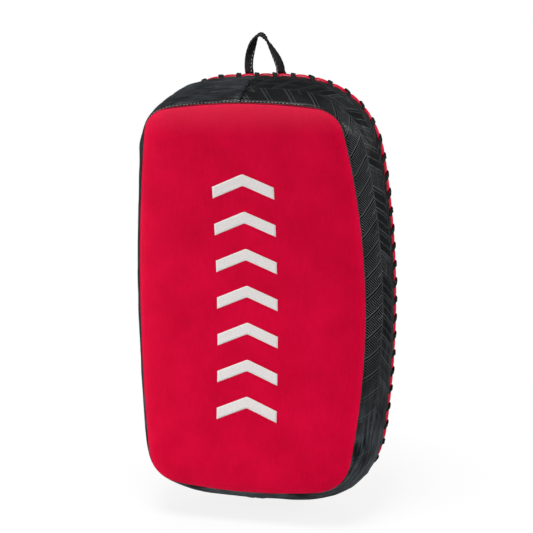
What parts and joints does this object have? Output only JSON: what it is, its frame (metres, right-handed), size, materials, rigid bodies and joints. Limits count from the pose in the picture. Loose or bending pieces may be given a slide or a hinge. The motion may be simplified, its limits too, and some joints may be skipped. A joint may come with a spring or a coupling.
{
  "type": "thai pad",
  "caption": "Curved, laced kick and punch pad worn on the forearm, with a padded hand grip, two forearm straps and a hanging loop.",
  "frame": {"origin": "middle of the flat facet of the forearm cushion, on its surface", "axes": "+X to the right as the striker sees the pad, +Y out of the back towards the holder, +Z along the pad to its hanging loop"},
  "size_m": [0.2372, 0.1945, 0.4216],
  "materials": {
    "red_vinyl": "satin neoprene-like vinyl with a fine weave",
    "red_bead": "smooth semi-gloss vinyl",
    "embossed_vinyl": "embossed semi-gloss vinyl",
    "black_vinyl": "grained satin vinyl",
    "lace": "braided matt cord",
    "webbing": "woven matt webbing",
    "loop_tape": "brushed loop pile",
    "hook_tape": "matt hook tape",
    "dense_foam": "matt closed-cell foam",
    "soft_foam": "matt open-cell foam",
    "steel": "nickel-plated"
  },
  "bodies": {
    "pad": {"strike_face_cover": "red_vinyl", "gusset_right": "embossed_vinyl", "gusset_left": "embossed_vinyl", "back_panel": "red_bead", "lacing_cord": "lace", "strike_foam": "dense_foam", "core_foam": "dense_foam", "comfort_foam": "soft_foam", "forearm_cushion_cover": "black_vinyl", "forearm_cushion_foam": "soft_foam", "hanging_loop_end_right": "black_vinyl", "hanging_loop_end_left": "black_vinyl", "grip_tab_left": "black_vinyl", "grip_tab_right": "black_vinyl", "grip_rivet_left_lower": "steel", "grip_rivet_left_upper": "steel", "grip_rivet_right_lower": "steel", "grip_rivet_right_upper": "steel", "upper_strap_foot": "webbing", "upper_keeper_foot": "webbing", "lower_strap_foot": "webbing", "lower_keeper_foot": "webbing"},
    "hanging_loop": {"hanging_loop": "black_vinyl"},
    "grip": {"grip_core": "dense_foam", "grip_cover": "black_vinyl"},
    "upper_strap": {"upper_strap_band": "webbing", "upper_loop_tape": "loop_tape", "upper_keeper_loop": "webbing"},
    "upper_ring": {"upper_strap_ring": "steel"},
    "upper_tail": {"upper_strap_tail": "webbing", "upper_hook_tape": "hook_tape"},
    "lower_strap": {"lower_strap_band": "webbing", "lower_loop_tape": "loop_tape", "lower_keeper_loop": "webbing"},
    "lower_ring": {"lower_strap_ring": "steel"},
    "lower_tail": {"lower_strap_tail": "webbing", "lower_hook_tape": "hook_tape"}
  },
  "joints": [
    {"name": "hanging_loop_swing", "type": "hinge", "parent": "pad", "child": "hanging_loop", "pos_m": [0, -0.03984, 0.19396], "axis": [1, 0, 0], "range_deg": [-110, 70]},
    {"name": "grip_swing", "type": "hinge", "parent": "pad", "child": "grip", "pos_m": [0, -0.01992, 0.11206], "axis": [1, 0, 0], "range_deg": [-30, 30]},
    {"name": "upper_strap_swing", "type": "hinge", "parent": "pad", "child": "upper_strap", "pos_m": [0, -0.01281, 0.01202], "axis": [1, 0, 0], "range_deg": [-12, 12]},
    {"name": "upper_ring_tilt", "type": "hinge", "parent": "upper_strap", "child": "upper_ring", "pos_m": [0.07506, 0.00358, 0.01231], "axis": [0, -0.0174, 0.9998], "range_deg": [-3.5, 3.5]},
    {"name": "upper_strap_peel", "type": "hinge", "parent": "upper_strap", "child": "upper_tail", "pos_m": [0.07389, 0.02748, 0.01273], "axis": [0, 0.0174, -0.9998], "range_deg": [0, 150]},
    {"name": "lower_strap_swing", "type": "hinge", "parent": "pad", "child": "lower_strap", "pos_m": [0, -0.01967, -0.09788], "axis": [1, 0, 0], "range_deg": [-12, 12]},
    {"name": "lower_ring_tilt", "type": "hinge", "parent": "lower_strap", "child": "lower_ring", "pos_m": [0.07506, -0.00344, -0.1002], "axis": [0, 0.1416, 0.9899], "range_deg": [-3.5, 3.5]},
    {"name": "lower_strap_peel", "type": "hinge", "parent": "lower_strap", "child": "lower_tail", "pos_m": [0.07389, 0.02022, -0.10359], "axis": [0, -0.1416, -0.9899], "range_deg": [0, 150]}
  ]
}
